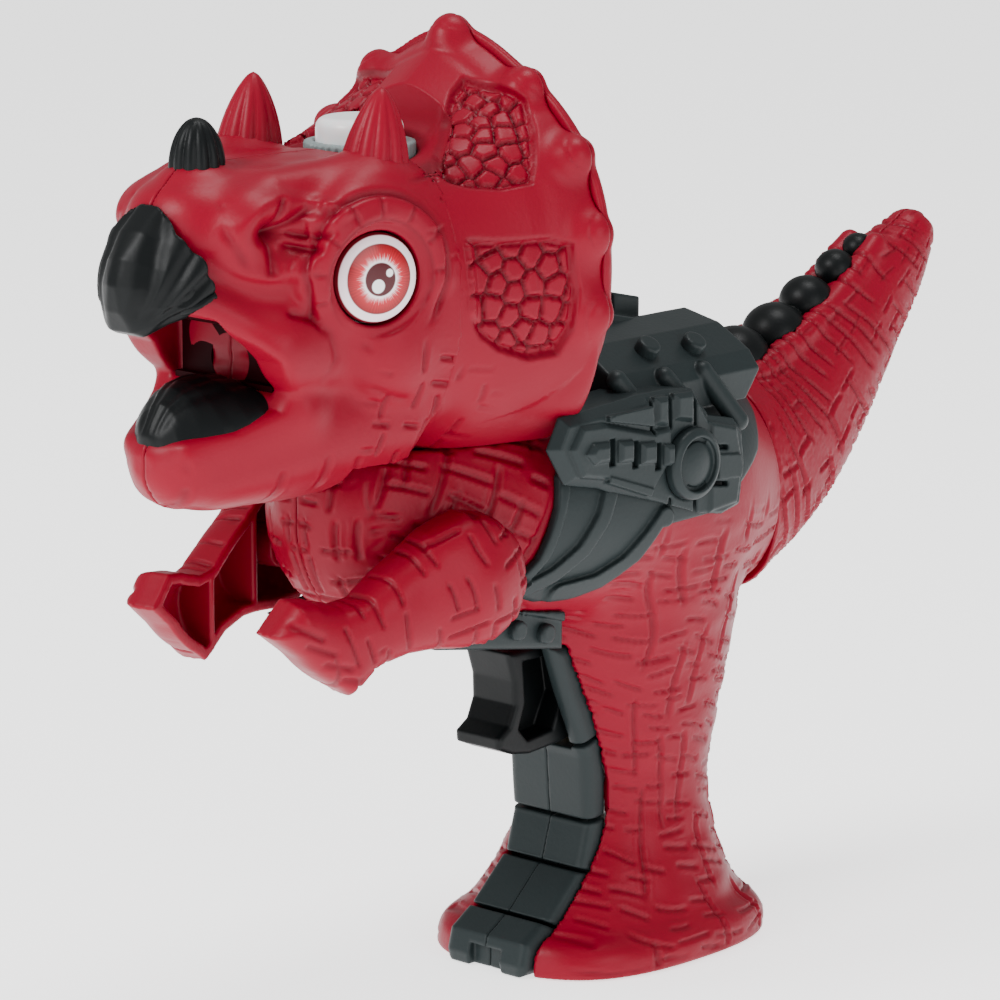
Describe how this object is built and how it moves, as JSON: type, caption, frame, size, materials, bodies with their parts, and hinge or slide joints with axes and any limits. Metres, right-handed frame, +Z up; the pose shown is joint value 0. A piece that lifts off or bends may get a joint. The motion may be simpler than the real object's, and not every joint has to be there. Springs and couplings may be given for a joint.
{
  "type": "bubble machine",
  "caption": "Horned-dinosaur bubble blower with a pistol grip leg: trigger, swinging arms, plug-in solution bottle, fan and geared wiper behind the open mouth.",
  "frame": {"origin": "middle of the sole of the foot, on the ground", "axes": "+Z up, -Y forward out of the mouth, +X the animal's left side"},
  "size_m": [0.1006, 0.2929, 0.2383],
  "materials": {
    "red_skin": "satin soft vinyl, crimson",
    "dark_trim": "satin dark slate",
    "black_trim": "satin near black",
    "eye_print": "gloss printed eye",
    "clear_red": "translucent red",
    "violet_plastic": "gloss violet",
    "milky_plastic": "milky translucent",
    "white_plastic": "natural nylon",
    "steel": "plated steel",
    "brass": "plain brass",
    "cell_wrap": "plain cell sleeve",
    "board_green": "solder mask",
    "speaker_black": "paper cone and frame",
    "clear_hose": "milky silicone",
    "wire_black": "vinyl sleeve",
    "lamp_lens": "clear lamp"
  },
  "bodies": {
    "shell": {"head_left": "red_skin", "head_right": "red_skin", "frill_front": "red_skin", "frill_back": "red_skin", "brow_horn_left": "red_skin", "brow_horn_right": "red_skin", "body_left": "red_skin", "body_right": "red_skin", "tail_left": "red_skin", "tail_right": "red_skin", "saddle_left": "dark_trim", "saddle_right": "dark_trim", "saddle_rail": "dark_trim", "saddle_studs": "dark_trim", "belly_plate": "dark_trim", "side_plate_left": "dark_trim", "side_plate_right": "dark_trim", "side_discs": "dark_trim", "grip_inlay_left": "dark_trim", "grip_inlay_right": "dark_trim", "bottle_well": "dark_trim", "upper_beak": "black_trim", "lower_beak": "black_trim", "nose_horn": "black_trim", "tail_studs": "black_trim", "eye_left": "eye_print", "eye_right": "eye_print", "mouth_liner": "clear_red", "bubble_ring": "violet_plastic", "motor_case": "steel", "idler_shaft": "steel", "shell_screws": "steel", "trigger_spring": "steel", "electric_contacts": "brass", "fan_housing": "white_plastic", "gearbox_rear": "white_plastic", "gearbox_front": "white_plastic", "trigger_guide": "white_plastic", "battery_carrier": "white_plastic", "battery_cells": "cell_wrap", "circuit_board": "board_green", "speaker": "speaker_black", "feed_hose": "clear_hose", "wiring": "wire_black", "mouth_lamp": "lamp_lens"},
    "trigger": {"trigger": "black_trim", "contact_bridge": "brass"},
    "arm_left": {"arm_left": "red_skin"},
    "arm_right": {"arm_right": "red_skin"},
    "bottle": {"solution_bottle": "milky_plastic", "bottle_cap": "white_plastic"},
    "battery_door": {"battery_door": "red_skin", "door_screw": "steel"},
    "rotor": {"motor_rotor": "steel", "fan_impeller": "white_plastic", "drive_pinion": "brass"},
    "idler": {"idler_gear": "white_plastic"},
    "wiper": {"output_gear": "white_plastic", "wiper_shaft": "steel", "wiper": "violet_plastic"}
  },
  "joints": [
    {"name": "trigger_pull", "type": "slide", "parent": "shell", "child": "trigger", "axis": [0, 1, 0], "range_m": [0, 0.004], "stiffness_N_per_m": 300, "springref_m": -0.004, "deforming": ["trigger_spring"]},
    {"name": "arm_left_swing", "type": "hinge", "parent": "shell", "child": "arm_left", "pos_m": [0.0275, -0.08, 0.11], "axis": [-1, 0, 0], "range_deg": [-40, 14]},
    {"name": "arm_right_swing", "type": "hinge", "parent": "shell", "child": "arm_right", "pos_m": [-0.0275, -0.08, 0.11], "axis": [-1, 0, 0], "range_deg": [-40, 14]},
    {"name": "bottle_lift", "type": "slide", "parent": "shell", "child": "bottle", "axis": [0, 0, 1], "range_m": [0, 0.05]},
    {"name": "battery_door_pull", "type": "slide", "parent": "shell", "child": "battery_door", "axis": [0, 1, 0], "range_m": [0, 0.03]},
    {"name": "rotor_spin", "type": "hinge", "parent": "shell", "child": "rotor", "pos_m": [0, -0.1, 0.157], "axis": [0, -1, 0], "continuous": true},
    {"name": "idler_spin", "type": "hinge", "parent": "shell", "child": "idler", "pos_m": [0.01184, -0.11, 0.161], "axis": [0, -1, 0], "continuous": true},
    {"name": "wiper_spin", "type": "hinge", "parent": "shell", "child": "wiper", "pos_m": [0, -0.115, 0.165], "axis": [0, -1, 0], "continuous": true}
  ],
  "couplings": [
    {"joint": "idler_spin", "follows": "rotor_spin", "ratio": -0.25},
    {"joint": "wiper_spin", "follows": "rotor_spin", "ratio": 0.0625}
  ]
}
